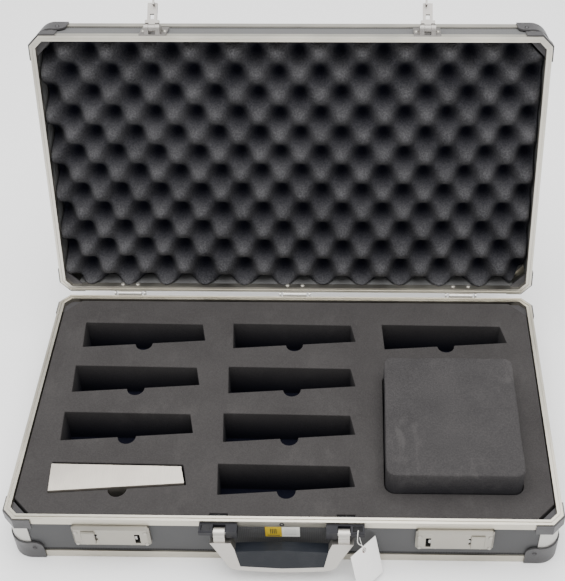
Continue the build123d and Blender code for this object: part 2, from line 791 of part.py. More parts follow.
def make_lock(side, name):
    """One combination lock: plate, button, sliding bar and wheels."""
    make_lock_plate(side, name)
    tall = around(BUTTON_Z, STEM_HEIGHT)
    stem = around(BUTTON_OFFSET, STEM_WIDTH)
    with BuildPart() as button:
        cap = (LOCK_FACE - BUTTON_RISE, LOCK_FACE - CLEAR / 2)
        heights = around(BUTTON_Z, BUTTON_HEIGHT)
        lock_block(side, around(BUTTON_OFFSET, BUTTON_WIDTH), cap, heights)
        chamfer(button.faces().sort_by(Axis.Y)[0].edges(), BUTTON_RISE / 3)
        lock_block(side, stem, (cap[1], BAR_FACE), tall)
    save(button, f"lock_button_{name}")

    with BuildPart() as bar:
        depths = (BAR_FACE, BAR_FACE + BAR_THICKNESS)
        lock_block(side, (CATCH_END, stem[1]), depths, around(SLOT_Z, BAR_HEIGHT))
    save(bar, f"lock_bar_{name}")

    for index, place in enumerate(WHEEL_PLACES):
        with BuildPart() as wheel:
            with BuildSketch(cross(BASE, lock_x(side, place), WHEEL_Y, WHEEL_Z)) as disc:
                Circle(WHEEL_RADIUS)
                Circle(AXLE_RADIUS + PIN_CLEAR, mode=Mode.SUBTRACT)
                with PolarLocations(WHEEL_RADIUS, WHEEL_NOTCHES):
                    Circle(WHEEL_RADIUS / 9, mode=Mode.SUBTRACT)
            extrude(disc.sketch, amount=WHEEL_WIDTH / 2, both=True)
        save(wheel, f"lock_wheel_{name}_{index + 1}")


def make_axles():
    """The two locks' wheel axles."""
    with BuildPart() as axles:
        for side in (-1, 1):
            middle = lock_x(side, WHEEL_OFFSET)
            rod(cross(BASE, middle, WHEEL_Y, WHEEL_Z), AXLE_RADIUS, 2 * RIB_OFFSET + RIB)
    save(axles, "lock_axles")


# ---- hasps ---------------------------------------------------------------------------
HASP_Z = LID_HEIGHT - LEVER_FROM_RIM
HASP_Y = HALF_D + LEVER_OUT


def hasp_rivet_planes():
    """Planes on the hasp plates' wings at their rivets."""
    planes = []
    for side in (-1, 1):
        for turn in (-1, 1):
            x = side * HASP_OFFSET + turn * HASP_RIVET_X
            place = (x, HALF_D + HASP_PLATE, LID_HEIGHT - HASP_RIVET_DROP)
            planes.append(on(LID, Plane(origin=place, x_dir=(1, 0, 0), z_dir=(0, 1, 0))))
    return planes


def make_hasp(side, name):
    """One hasp: its bracket with two ears, and the lever that hooks into the lock."""
    x = side * HASP_OFFSET
    top = LID_HEIGHT - RIM_GAP
    skin = HALF_D
    face = HALF_D + HASP_PLATE
    with BuildPart() as bracket:
        wing = HASP_WIDTH / 2
        block(LID, (x - wing, skin, top - HASP_REACH), (x + wing, face, top))
        for turn in (-1, 1):
            middle = x + turn * (EAR_GAP + EAR_WIDTH) / 2
            corners = (
                (face, top - EAR_REACH),
                (face, top),
                (HASP_Y, HASP_Z + EAR_RADIUS),
                (HASP_Y + EAR_RADIUS * 0.7, HASP_Z - EAR_RADIUS * 0.7),
            )
            plate(cross(LID, middle), corners, EAR_WIDTH)
            rod(cross(LID, middle, HASP_Y, HASP_Z), EAR_RADIUS, EAR_WIDTH)
        rod(cross(LID, x, HASP_Y, HASP_Z), HASP_PIN_RADIUS + PIN_CLEAR, HASP_WIDTH, Mode.SUBTRACT)
        drill(hasp_rivet_planes(), HASP_PLATE)
    save(bracket, f"hasp_bracket_{name}")

    swing = radians(LEVER_OPEN)
    flat = on(LID, Plane(
        origin=(x, HASP_Y, HASP_Z), x_dir=(1, 0, 0), z_dir=(0, -cos(swing), sin(swing))
    ))
    half = LEVER_THICKNESS / 2
    with BuildPart() as lever:
        rod(cross(LID, x, HASP_Y, HASP_Z), LEVER_BARREL, EAR_GAP - 2 * CLEAR)
        neck = EAR_GAP / 2 - CLEAR
        block(flat, (-neck, 0, -half), (neck, EAR_RADIUS + 1, half))
        shoulder = EAR_RADIUS + 2 * CLEAR
        block(flat, (-LEVER_SHOULDER / 2, shoulder, -half), (LEVER_SHOULDER / 2, shoulder + 3, half))
        arm = LEVER_WIDTH / 2
        block(flat, (-arm, shoulder, -half), (arm, LEVER_LENGTH, half))
        tab = LEVER_LENGTH - LEVER_TAB
        block(flat, (-arm, tab, -half - LEVER_TAB_RISE), (arm, LEVER_LENGTH, half))
        window = LEVER_WINDOW_WIDTH / 2
        low = LEVER_WINDOW_AT - LEVER_WINDOW_LENGTH / 2
        high = LEVER_WINDOW_AT + LEVER_WINDOW_LENGTH / 2
        block(flat, (-window, low, -half), (window, high, half), Mode.SUBTRACT)
        hook = -side * HOOK_SHIFT
        end = LEVER_LENGTH - HOOK_FROM_END
        low, high = around(hook, HOOK_WIDTH)
        reach = half + HOOK_REACH
        block(flat, (low, end - HOOK_LENGTH, half), (high, end, reach))
        block(flat, (low, end, reach - BARB_THICKNESS), (high, end + BARB, reach))
        rod(cross(LID, x, HASP_Y, HASP_Z), HASP_PIN_RADIUS + PIN_CLEAR, EAR_GAP, Mode.SUBTRACT)
    save(lever, f"hasp_lever_{name}")


def make_hasp_pins():
    """The pins that the hasp levers turn on."""
    with BuildPart() as pins:
        for side in (-1, 1):
            span = EAR_GAP + 2 * EAR_WIDTH
            rod(cross(LID, side * HASP_OFFSET, HASP_Y, HASP_Z), HASP_PIN_RADIUS, span)
    save(pins, "hasp_pins")


# ---- handle --------------------------------------------------------------------------
PIVOT_Y = FRONT - PIVOT_OUT
BAIL = Plane(
    origin=(0, PIVOT_Y, PIVOT_Z),
    x_dir=(1, 0, 0),
    z_dir=(0, -cos(radians(HANDLE_LEAN)), sin(radians(HANDLE_LEAN))),
)
EYE_INNER = BRACKET_OUTER - EYE_WALL - EYE_GAP
EAR_INNER = EYE_INNER - BRACKET_EAR
HANDLE_PIN_X = EYE_INNER - HANDLE_PIN_LENGTH / 2
BACKING_FACE = FRONT + INNER + BACKING_DEPTH
SCREW_PLANES = [
    Plane(
        origin=(side * BACKING_OFFSET, BACKING_FACE, BRACKET_TOP - drop),
        x_dir=(1, 0, 0),
        z_dir=(0, 1, 0),
    )
    for side in (-1, 1)
    for drop in SCREW_DROPS
]


def make_bracket(side, name):
    """One handle bracket: bearing block, outer ear, and a strap eye on the outside."""
    back = FRONT
    seat = FRONT - BRACKET_PLATE
    front = FRONT - BRACKET_RISE
    eye = FRONT - EYE_RISE
    with BuildPart() as bracket:
        inner = side * BRACKET_INNER
        outer = side * BRACKET_OUTER
        block(BASE, (inner, seat, BRACKET_BOTTOM), (outer, back, BRACKET_TOP))
        bearing = side * (BRACKET_INNER + BRACKET_BLOCK)
        block(BASE, (inner, front, BRACKET_BOTTOM + BRACKET_LIP), (bearing, seat, BRACKET_TOP))
        block(BASE, (side * EAR_INNER, front, BRACKET_BOTTOM + BRACKET_LIP),
              (side * EYE_INNER, seat, BRACKET_TOP))
        low = BRACKET_TOP - EYE_HEIGHT
        block(BASE, (side * (BRACKET_OUTER - EYE_WALL), eye, low), (outer, seat, BRACKET_TOP))
        block(BASE, (side * EAR_INNER, eye, low), (outer, eye + EYE_WALL, BRACKET_TOP))
        edges = bracket.edges().filter_by(Axis.X).group_by(Axis.Y)[0]
        chamfer(edges, EYE_WALL / 4)
        pin = cross(BASE, side * HANDLE_PIN_X, PIVOT_Y, PIVOT_Z)
        rod(pin, HANDLE_PIN_RADIUS, HANDLE_PIN_LENGTH, Mode.SUBTRACT)
        drill(SCREW_PLANES, SCREW_LENGTH)
    save(bracket, f"handle_bracket_{name}")


def make_handle():
    """The bail, its grip, its pivot pins, and the backing plates with their screws."""
    half = HANDLE_THICKNESS / 2
    tab_x = (BRACKET_INNER + BRACKET_BLOCK + EAR_INNER) / 2
    with BuildPart() as bail:
        with BuildSketch(BAIL.offset(-half)) as frame:
            with BuildLine():
                outer = Polyline(
                    (0, -HANDLE_TOP),
                    (HANDLE_OUTER_TOP, -HANDLE_TOP),
                    (HANDLE_OUTER_TOP - 2, -HANDLE_TOP - 3),
                    (HANDLE_OUTER_LOW + 4, -GRIP_TOP - 10),
                )
                bend = Spline(
                    outer @ 1,
                    (HANDLE_OUTER_LOW, -HANDLE_REACH + 9),
                    (HANDLE_INNER_LOW + 3, -HANDLE_REACH + 2.2),
                    tangents=(outer % 1, (-1, -0.25)),
                )
                ThreePointArc(
                    bend @ 1,
                    (HANDLE_INNER_LOW / 2, -HANDLE_REACH + 0.5),
                    (0, -HANDLE_REACH),
                )
                Line((0, -HANDLE_REACH), (0, -HANDLE_TOP))
            make_face()
            Polygon(
                (0, 0),
                (HANDLE_INNER_TOP, 0),
                (HANDLE_INNER_TOP, -HANDLE_TOP),
                (HANDLE_INNER_LOW + 2, -GRIP_TOP - 2),
                (HANDLE_INNER_LOW - 2, -GRIP_BOTTOM),
                (0, -GRIP_BOTTOM - 2),
                align=None,
                mode=Mode.SUBTRACT,
            )
            mirror(about=Plane.YZ)
        extrude(frame.sketch, amount=HANDLE_THICKNESS)
        for side in (-1, 1):
            start = (side * tab_x - TAB_WIDTH / 2, -HANDLE_TOP - 1, -BOSS_RADIUS * 0.8)
            block(BAIL, start, (side * tab_x + TAB_WIDTH / 2, 0, BOSS_RADIUS * 0.8))
            rod(cross(BASE, side * tab_x, PIVOT_Y, PIVOT_Z), BOSS_RADIUS, TAB_WIDTH)
        for side in (-1, 1):
            pin = cross(BASE, side * tab_x, PIVOT_Y, PIVOT_Z)
            rod(pin, HANDLE_PIN_RADIUS + PIN_CLEAR, TAB_WIDTH, Mode.SUBTRACT)
    save(bail, "handle_bail")

    with BuildPart() as grip:
        with BuildSketch(BAIL.offset(-half - GRIP_GROWTH)):
            Polygon(
                (HANDLE_INNER_LOW + 2, -GRIP_TOP - 2),
                (HANDLE_INNER_LOW - 2, -GRIP_BOTTOM),
                (0, -GRIP_BOTTOM - 2),
                (-HANDLE_INNER_LOW + 2, -GRIP_BOTTOM),
                (-HANDLE_INNER_LOW - 2, -GRIP_TOP - 2),
                (0, -GRIP_TOP),
                align=None,
            )
        extrude(amount=HANDLE_THICKNESS + 2 * GRIP_GROWTH)
    save(grip, "handle_grip")

    with BuildPart() as pins:
        for side in (-1, 1):
            pin = cross(BASE, side * HANDLE_PIN_X, PIVOT_Y, PIVOT_Z)
            rod(pin, HANDLE_PIN_RADIUS, HANDLE_PIN_LENGTH)
    save(pins, "handle_pins")

    with BuildPart() as backing:
        for side in (-1, 1):
            x = side * BACKING_OFFSET
            wide = BACKING_WIDTH / 2
            low = (x - wide, FRONT + INNER, BACKING_LOW)
            block(BASE, low, (x + wide, BACKING_FACE, BRACKET_TOP))
        drill(SCREW_PLANES, BACKING_DEPTH)
    save(backing, "handle_backing_plates")

    with BuildPart() as screws:
        for plane in SCREW_PLANES:
            rivet(plane, RIVET_HEAD, SCREW_HEAD, SCREW_LENGTH - SCREW_TIP_GAP)
    save(screws, "handle_screws")


# ---- rivets, label and tag -----------------------------------------------------------
BASE_HOLES = ball_rivet_planes(BASE) + BASE_HINGE_RIVETS + lock_rivet_planes() + SCREW_PLANES
LID_HOLES = ball_rivet_planes(LID) + LID_HINGE_RIVETS + hasp_rivet_planes()


def drill_shell(shell):
    """All rivet and screw holes of one shell."""
    drill(BASE_HOLES if shell is BASE else LID_HOLES, SCREW_LENGTH)


def make_rivets():
    """All rivets of the base in one node, and all rivets of the lid in another."""
    with BuildPart() as base_rivets:
        for plane in ball_rivet_planes(BASE):
            rivet(plane, RIVET_HEAD, RIVET_RISE, BALL_WALL + PANEL_IN)
        for plane in BASE_HINGE_RIVETS:
            rivet(plane, RIVET_HEAD, RIVET_RISE, LEAF + INNER)
        for plane in lock_rivet_planes():
            rivet(plane, LOCK_RIVET_HEAD, LOCK_RIVET_RISE, LOCK_RISE + PANEL_IN)
        centre = (0, FRONT, BASE_HEIGHT - RING_DROP)
        with BuildSketch(Plane(origin=centre, x_dir=(1, 0, 0), z_dir=(0, -1, 0))) as ring:
            Circle(RING_RADIUS)
            Circle(RING_BORE, mode=Mode.SUBTRACT)
        extrude(ring.sketch, amount=RING_RISE)
    save(base_rivets, "base_rivets")

    with BuildPart() as lid_rivets:
        for plane in ball_rivet_planes(LID):
            rivet(plane, RIVET_HEAD, RIVET_RISE, BALL_WALL + PANEL_IN)
        for plane in LID_HINGE_RIVETS:
            rivet(plane, RIVET_HEAD, RIVET_RISE, LEAF + INNER)
            rivet(plane.offset(-LEAF - INNER).rotated((180, 0, 0)), RIVET_HEAD, RIVET_RISE)
        for plane in hasp_rivet_planes():
            rivet(plane, RIVET_HEAD, RIVET_RISE, HASP_PLATE + PANEL_IN)
    save(lid_rivets, "lid_rivets")


def make_label():
    """A plain two-part label on the front panel."""
    with BuildPart() as label:
        depths = (PANEL_FACE - LABEL_THICKNESS, PANEL_FACE)
        heights = around(LABEL_Z, LABEL_HEIGHT)
        width = around(0, LABEL_WIDTH)
        block(BASE, (width[0], depths[0], heights[0]), (width[1], depths[1], heights[1]))
    save(label, "front_label")


def make_tag():
    """The hang tag and the string that loops it to the right bracket's strap eye."""
    card = Plane(
        Pos(*TAG_HANG) * Rot(Z=TAG_TURN) * Rot(X=90 - TAG_LEAN) * Rot(Z=TAG_ROLL)
    )
    with BuildPart() as tag:
        with BuildSketch(card.offset(-TAG_THICKNESS / 2)):
            with Locations((0, TAG_HOLE_DROP - TAG_LENGTH / 2)):
                Rectangle(TAG_WIDTH, TAG_LENGTH)
            Circle(TAG_HOLE, mode=Mode.SUBTRACT)
        extrude(amount=TAG_THICKNESS)
    save(tag, "hang_tag")

    away = STRING_STANDOFF
    side = STRING_SPREAD
    bar_y = FRONT - EYE_RISE + EYE_WALL / 2
    bar_z = BRACKET_TOP - EYE_HEIGHT / 2
    front = bar_y - STRING_LOOP
    back = bar_y + STRING_LOOP
    low = bar_z - STRING_DROP
    high = bar_z + STRING_LOOP
    points = [
        card.from_local_coords((-side, 0, -away)),
        card.from_local_coords((-side, 0, away)),
        card.from_local_coords((-side, TAG_HOLE_DROP + away, away)),
        Vector(STRING_X - side, front, low),
        Vector(STRING_X - side, front, high),
        Vector(STRING_X, back, high),
        Vector(STRING_X + side, back, low),
        card.from_local_coords((side, STRING_END, -away - STRING_RADIUS)),
    ]
    with BuildPart() as string:
        with BuildLine() as route:
            FilletPolyline(*points, radius=bend_radii(points))
        with BuildSketch(Plane(origin=route.line @ 0, z_dir=route.line % 0)):
            Circle(STRING_RADIUS)
        sweep(path=route.line)
    save(string, "tag_string")


def bend_radii(points):
    """The largest fair bend at each inner point of a route."""
    radii = []
    for before, here, after in zip(points, points[1:], points[2:]):
        one = here - before
        two = after - here
        turn = radians(one.get_angle(two))
        radii.append(BEND_SHARE * min(one.length, two.length) / tan(turn / 2))
    return radii


make_panels(BASE, "base", BASE_HEIGHT, 1)
make_panels(LID, "lid", LID_HEIGHT, -1)
for shell, name, height in ((BASE, "base", BASE_HEIGHT), (LID, "lid", LID_HEIGHT)):
    make_rim(shell, name, height)
    make_trim(shell, name)
    make_posts(shell, name, height)
    make_frame_corners(shell, name, height)
    make_ball_corners(shell, name)
    make_gussets(shell, name, height)
make_base_foam()
make_base_contents()
make_lid_foam()
make_hinges()
for side, name in ((-1, "left"), (1, "right")):
    make_lock(side, name)
    make_hasp(side, name)
    make_bracket(side, name)
make_axles()
make_hasp_pins()
make_handle()
make_rivets()
make_label()
make_tag()
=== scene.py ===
"""Looks for the miniature carry case: finishes, cut foam, egg-crate foam, card tag and studio."""

import json
import logging
from dataclasses import dataclass
from enum import Enum
from math import cos, pi, radians, sin

import bmesh
import bpy
from mathutils import Matrix, Vector, noise


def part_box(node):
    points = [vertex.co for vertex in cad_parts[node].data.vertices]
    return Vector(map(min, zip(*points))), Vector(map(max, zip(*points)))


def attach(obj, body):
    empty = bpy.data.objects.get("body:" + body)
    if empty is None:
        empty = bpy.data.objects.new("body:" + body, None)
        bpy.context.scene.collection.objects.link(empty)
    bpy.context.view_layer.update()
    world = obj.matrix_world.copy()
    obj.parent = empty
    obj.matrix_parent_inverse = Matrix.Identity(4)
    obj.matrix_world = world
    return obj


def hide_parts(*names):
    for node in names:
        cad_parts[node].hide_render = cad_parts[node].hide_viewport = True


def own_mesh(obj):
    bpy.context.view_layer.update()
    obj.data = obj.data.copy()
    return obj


logging.basicConfig(level=logging.INFO, format="%(message)s")
LOG = logging.getLogger("case")

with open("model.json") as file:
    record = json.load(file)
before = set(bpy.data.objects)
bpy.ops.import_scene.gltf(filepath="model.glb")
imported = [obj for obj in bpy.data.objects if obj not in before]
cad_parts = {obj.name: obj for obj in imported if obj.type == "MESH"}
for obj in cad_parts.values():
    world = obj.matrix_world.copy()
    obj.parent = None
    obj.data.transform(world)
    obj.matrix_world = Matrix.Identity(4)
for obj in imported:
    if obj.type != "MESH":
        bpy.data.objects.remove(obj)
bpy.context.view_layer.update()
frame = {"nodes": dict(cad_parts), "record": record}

Colour = tuple[float, float, float]
Point = tuple[float, float, float]


class Along(Enum):
    """The direction in which a metal was drawn or brushed."""

    WIDTH = (0.04, 1.0, 1.0)
    DEPTH = (1.0, 0.04, 1.0)
    HEIGHT = (1.0, 1.0, 0.04)
    NONE = (1.0, 1.0, 1.0)


# ---- shader expressions --------------------------------------------------------------
class Value:
    """A number on a node's output that Python arithmetic can use."""

    def __init__(self, shade: "Shade", socket: bpy.types.NodeSocket) -> None:
        """Keep the socket and the material it belongs to."""
        self.shade = shade
        self.socket = socket

    def _math(self, operation: str, first: object, second: object) -> "Value":
        """Add one Math node."""
        return self.shade.node(
            "ShaderNodeMath", {"operation": operation}, {0: first, 1: second}
        )

    def __add__(self, other: object) -> "Value":
        """self + other."""
        return self._math("ADD", self, other)

    def __radd__(self, other: object) -> "Value":
        """other + self."""
        return self._math("ADD", other, self)

    def __sub__(self, other: object) -> "Value":
        """self - other."""
        return self._math("SUBTRACT", self, other)

    def __rsub__(self, other: object) -> "Value":
        """other - self."""
        return self._math("SUBTRACT", other, self)

    def __mul__(self, other: object) -> "Value":
        """self * other."""
        return self._math("MULTIPLY", self, other)

    def __rmul__(self, other: object) -> "Value":
        """other * self."""
        return self._math("MULTIPLY", other, self)

    def __pow__(self, other: object) -> "Value":
        """self raised to other."""
        return self._math("POWER", self, other)

    def __lt__(self, other: object) -> "Value":
        """1 where self is less than other, else 0."""
        return self._math("LESS_THAN", self, other)

    def __gt__(self, other: object) -> "Value":
        """1 where self is greater than other, else 0."""
        return self._math("GREATER_THAN", self, other)

    def minimum(self, other: object) -> "Value":
        """The smaller of the two."""
        return self._math("MINIMUM", self, other)

    def maximum(self, other: object) -> "Value":
        """The larger of the two."""
        return self._math("MAXIMUM", self, other)

    def reach(self, spread: float) -> "Value":
        """How far it is from plus or minus a spread."""
        return self.maximum(self * -1.0) - spread


class Shade:
    """One material under construction, with short ways to add its nodes."""

    def __init__(self, name: str) -> None:
        """Start a material with only its Principled shader and output."""
        self.material = bpy.data.materials.new(name)
        self.material.use_nodes = True
        self.tree = self.material.node_tree
        self.shader = self.tree.nodes["Principled BSDF"]
        self.place = self.node("ShaderNodeTexCoord", {}, {}, "Object")

    def node(
        self,
        kind: str,
        settings: dict[str, object],
        sockets: dict[object, object],
        output: object = 0,
    ) -> Value:
        """Add any node.

        Args:
            kind: the node's type.
            settings: properties that are set first.
            sockets: values or links for its inputs, by name or number.
            output: the output to hand back, by name or number.

        Returns:
            The chosen output.
        """
        made = self.tree.nodes.new(kind)
        for name, value in settings.items():
            setattr(made, name, value)
        for key, value in sockets.items():
            if isinstance(value, Value):
                self.tree.links.new(value.socket, made.inputs[key])
            else:
                made.inputs[key].default_value = value
        return Value(self, made.outputs[output])

    def noise(self, scale: float, detail: float = 3.0, stretch: Point = (1, 1, 1)) -> Value:
        """Smooth noise of this many features per metre, stretched along an axis."""
        where = self.node(
            "ShaderNodeMapping", {}, {"Vector": self.place, "Scale": stretch}
        )
        return self.node(
            "ShaderNodeTexNoise", {}, {"Vector": where, "Scale": scale, "Detail": detail}
        )

    def cells(self, scale: float) -> Value:
        """Distance to the nearest cell centre, for open-cell foam."""
        return self.node("ShaderNodeTexVoronoi", {}, {"Vector": self.place, "Scale": scale})

    def span(self, value: Value, low: float, high: float) -> Value:
        """The value mapped from low..high to 0..1 and held there."""
        return self.node(
            "ShaderNodeMapRange",
            {"clamp": True},
            {"Value": value, "From Min": low, "From Max": high},
        )

    def axis(self, direction: Point, offset: float = 0.0) -> Value:
        """The distance of a place along a direction, less an offset."""
        dot = self.node(
            "ShaderNodeVectorMath",
            {"operation": "DOT_PRODUCT"},
            {0: self.place, 1: direction},
            "Value",
        )
        return dot - offset

    def mix(self, factor: object, first: object, second: object) -> Value:
        """One colour going to another."""
        made = self.tree.nodes.new("ShaderNodeMix")
        made.data_type = "RGBA"
        for name, value in (("Factor", factor), ("A", first), ("B", second)):
            kinds = [s for s in made.inputs if s.name == name and s.enabled]
            target = kinds[-1] if name == "Factor" else kinds[0]
            if isinstance(value, Value):
                self.tree.links.new(value.socket, target)
            elif name == "Factor":
                target.default_value = value
            else:
                target.default_value = (*value, 1.0)
        result = [s for s in made.outputs if s.enabled][0]
        return Value(self, result)

    def finish(
        self,
        colour: object,
        roughness: object,
        metallic: float = 0.0,
        height: Value | None = None,
        depth: float = 0.0002,
        **fixed: float,
    ) -> bpy.types.Material:
        """Join everything to the shader.

        Args:
            colour: a colour or a colour output.
            roughness: a number or an output.
            metallic: 1 for bare metal.
            height: relief, in 0..1.
            depth: the relief's height in metres.
            fixed: constants for the shader's own sockets, with underscores for spaces.

        Returns:
            The finished material.
        """
        inputs = self.shader.inputs
        for name, value in (("Base Color", colour), ("Roughness", roughness)):
            if isinstance(value, Value):
                self.tree.links.new(value.socket, inputs[name])
            elif name == "Base Color":
                inputs[name].default_value = (*value, 1.0)
            else:
                inputs[name].default_value = value
        inputs["Metallic"].default_value = metallic
        for name, value in fixed.items():
            inputs[name.replace("_", " ")].default_value = value
        if height is not None:
            bump = self.node(
                "ShaderNodeBump", {}, {"Height": height, "Distance": depth, "Strength": 1.0}
            )
            self.tree.links.new(bump.socket, inputs["Normal"])
        return self.material


# ---- finishes ------------------------------------------------------------------------
@dataclass(frozen=True)
class Foam:
    """Open-cell foam with fine pores, soft blotches, pale scuffs and painted shade deeper down.
    """

    name: str
    dark: Colour
    light: Colour
    pores: float = 700.0
    scuffs: float = 0.0
    relief: float = 0.0005
    up: Point = (0.0, 0.0, 1.0)
    floor: float = 0.0
    full: float = 0.0
    depth_shade: Colour = (0.0016, 0.0022, 0.008)

    def build(self) -> bpy.types.Material:
        """Make the foam's material."""
        shade = Shade(self.name)
        grain = shade.span(shade.noise(self.pores, 2.0), 0.35, 0.68)
        pores = shade.span(shade.cells(self.pores * 1.4), 0.0, 0.55)
        blotch = shade.span(shade.noise(22.0, 4.0), 0.3, 0.72)
        tone = grain * 0.45 + blotch * 0.4 + pores * 0.15
        if self.scuffs:
            wipe = shade.span(shade.noise(60.0, 5.0, (1.5, 0.9, 1.0)), 0.5, 0.68)
            patch = shade.span(shade.noise(16.0, 1.0), 0.45, 0.6)
            scratch = shade.span(shade.noise(130.0, 2.0, (1.0, 0.16, 1.0)), 0.6, 0.7)
            tone = tone + wipe * patch * self.scuffs + scratch * patch * self.scuffs * 0.5
        colour = shade.mix(tone.minimum(1.6), self.dark, self.light)
        # Painted shade: below full the colour darkens towards depth_shade, darkest at floor, for
        # the shade in pockets, pits and lower sides.
        if self.full > self.floor:
            rise = shade.span(shade.axis(self.up), self.floor, self.full)
            colour = shade.mix(rise, self.depth_shade, colour)
        height = grain * 0.6 + pores * 0.4
        return shade.finish(
            colour, 0.95, height=height, depth=self.relief, Specular_IOR_Level=0.18
        )


@dataclass(frozen=True)
class Laminate:
    """Matte panel skin with a painted serrated shadow line where it enters the edge trim."""

    name: str
    base: Colour
    speck: Colour
    normal: Point
    start: float
    dots: float = 0.0
    shadow_low: float = 0.0094
    shadow_high: float = 0.0126

    def build(self) -> bpy.types.Material:
        """Make the panel's material."""
        shade = Shade(self.name)
        grain = shade.span(shade.noise(1500.0, 2.0), 0.35, 0.7)
        cloud = shade.noise(9.0, 3.0)
        colour = shade.mix(grain * 0.35 + cloud * 0.35, self.base, self.speck)
        height = grain
        if self.dots:
            ripple = shade.node(
                "ShaderNodeTexWave",
                {"wave_type": "BANDS", "bands_direction": "X"},
                {"Vector": shade.place, "Scale": 190.0, "Distortion": 0.0},
                "Fac",
            )
            rows = shade.node(
                "ShaderNodeTexWave",
                {"wave_type": "BANDS", "bands_direction": "Z"},
                {"Vector": shade.place, "Scale": 190.0, "Distortion": 0.0},
                "Fac",
            )
            beside = shade.axis((1, 0, 0))
            middle = (beside < self.dots) * (beside > -self.dots)
            pits = shade.span(ripple * rows, 0.25, 0.75) * middle
            colour = shade.mix(pits, colour, tuple(c * 0.35 for c in self.base))
            height = grain * 0.3 + (1 - pits) * 0.7
        # Painted shadow: a near-black serrated band just above the edge trim, where the panel
        # sits back from the trim.
        above = shade.axis(self.normal, self.start)
        shadow_band = (above > self.shadow_low) * (above < self.shadow_high)
        teeth = shade.node(
            "ShaderNodeTexWave",
            {"wave_type": "BANDS", "bands_direction": "X"},
            {"Vector": shade.place, "Scale": 130.0},
            "Fac",
        )
        shadow = shadow_band * (0.6 + teeth * 0.4)
        colour = shade.mix(shadow, colour, (0.006, 0.006, 0.007))
        return shade.finish(
            colour, 0.62, height=height, depth=0.00012, Specular_IOR_Level=0.3
        )


@dataclass(frozen=True)
class Metal:
    """Bare metal with fine lines along its length and soft smudges."""

    name: str
    base: Colour
    roughness: float
    along: Along = Along.NONE
    lines: float = 900.0
    contrast: float = 0.12
    relief: float = 0.00002
    metallic: float = 1.0

    def build(self) -> bpy.types.Material:
        """Make the metal's material."""
        shade = Shade(self.name)
        lines = shade.noise(self.lines, 3.0, self.along.value)
        smudge = shade.span(shade.noise(26.0, 4.0), 0.35, 0.7)
        low = tuple(c * (1 - self.contrast) for c in self.base)
        high = tuple(min(1.0, c * (1 + self.contrast)) for c in self.base)
        colour = shade.mix(lines * 0.6 + smudge * 0.4, low, high)
        roughness = self.roughness + smudge * 0.1 + lines * 0.08
        return shade.finish(
            colour, roughness, self.metallic, height=lines, depth=self.relief
        )


@dataclass(frozen=True)
class PlateMetal:
    """Satin plated metal of a lock, with painted shade around its four rivets."""

    name: str
    base: Colour
    roughness: float
    middle: Point = (0.1542, 0.0, 0.0362)
    spread: Point = (0.0314, 0.0, 0.0085)
    seat: float = 0.0024

    def build(self) -> bpy.types.Material:
        """Make the plate's material."""
        shade = Shade(self.name)
        lines = shade.noise(1400.0, 3.0)
        smudge = shade.span(shade.noise(26.0, 4.0), 0.35, 0.7)
        dark = tuple(c * 0.88 for c in self.base)
        light = tuple(c * 1.08 for c in self.base)
        colour = shade.mix(lines * 0.5 + smudge * 0.5, dark, light)
        # Painted shade: a dark ring round each rivet seat, for the shade where the rivets sit in
        # their recesses.
        beside = shade.axis((1, 0, 0)).reach(self.middle[0]).reach(self.spread[0])
        above = shade.axis((0, 0, 1), self.middle[2]).reach(self.spread[2])
        away = (beside * beside + above * above) ** 0.5
        rivet_shade = 1.0 - shade.span(away, self.seat * 0.75, self.seat)
        colour = shade.mix(rivet_shade * 0.75, colour, (0.12, 0.1, 0.1))
        return shade.finish(
            colour, self.roughness + smudge * 0.1, 1.0, height=lines, depth=0.00003
        )


@dataclass(frozen=True)
class Studs:
    """Plated rivet heads, painted dark on the corners of the case."""

    name: str
    plated: Colour
    painted: Colour
    corner: float = 0.2
    ring: float = 0.004
    ring_front: float = 0.13

    def build(self) -> bpy.types.Material:
        """Make the rivets' material."""
        shade = Shade(self.name)
        beside = shade.axis((1, 0, 0))
        outer = (beside > self.corner).maximum(beside < -self.corner)
        ring = (beside < self.ring) * (beside > -self.ring)
        outer = outer.maximum(ring * (shade.axis((0, -1, 0)) > self.ring_front))
        worn = shade.span(shade.noise(700.0, 2.0), 0.3, 0.7)
        colour = shade.mix(outer, self.plated, self.painted)
        return shade.finish(colour, 0.3 + worn * 0.15, 0.7, height=worn, depth=0.00002)


@dataclass(frozen=True)
class Plastic:
    """Moulded plastic or rubber with a fine spark-eroded grain and rubbed patches."""

    name: str
    base: Colour
    roughness: float
    rubbed: Colour
    grain: float = 1100.0
    relief: float = 0.00006
    shine: float = 0.5

    def build(self) -> bpy.types.Material:
        """Make the plastic's material."""
        shade = Shade(self.name)
        grain = shade.span(shade.noise(self.grain, 2.0), 0.3, 0.7)
        rub = shade.span(shade.noise(48.0, 4.0), 0.5, 0.75)
        colour = shade.mix(rub * 0.7 + grain * 0.15, self.base, self.rubbed)
        roughness = self.roughness - rub * 0.1 + grain * 0.05
        return shade.finish(
            colour, roughness, height=grain, depth=self.relief, Specular_IOR_Level=self.shine
        )


@dataclass(frozen=True)
class Card:
    """White card with faint fibres and soft stains."""

    name: str
    base: Colour

    def build(self) -> bpy.types.Material:
        """Make the card's material."""
        shade = Shade(self.name)
        fibre = shade.span(shade.noise(800.0, 4.0, (1.0, 0.4, 1.0)), 0.35, 0.7)
        stain = shade.span(shade.noise(60.0, 3.0), 0.45, 0.75)
        colour = shade.mix(
            fibre * 0.3 + stain * 0.4, self.base, tuple(c * 0.9 for c in self.base)
        )
        return shade.finish(colour, 0.7, height=fibre, depth=0.00004)


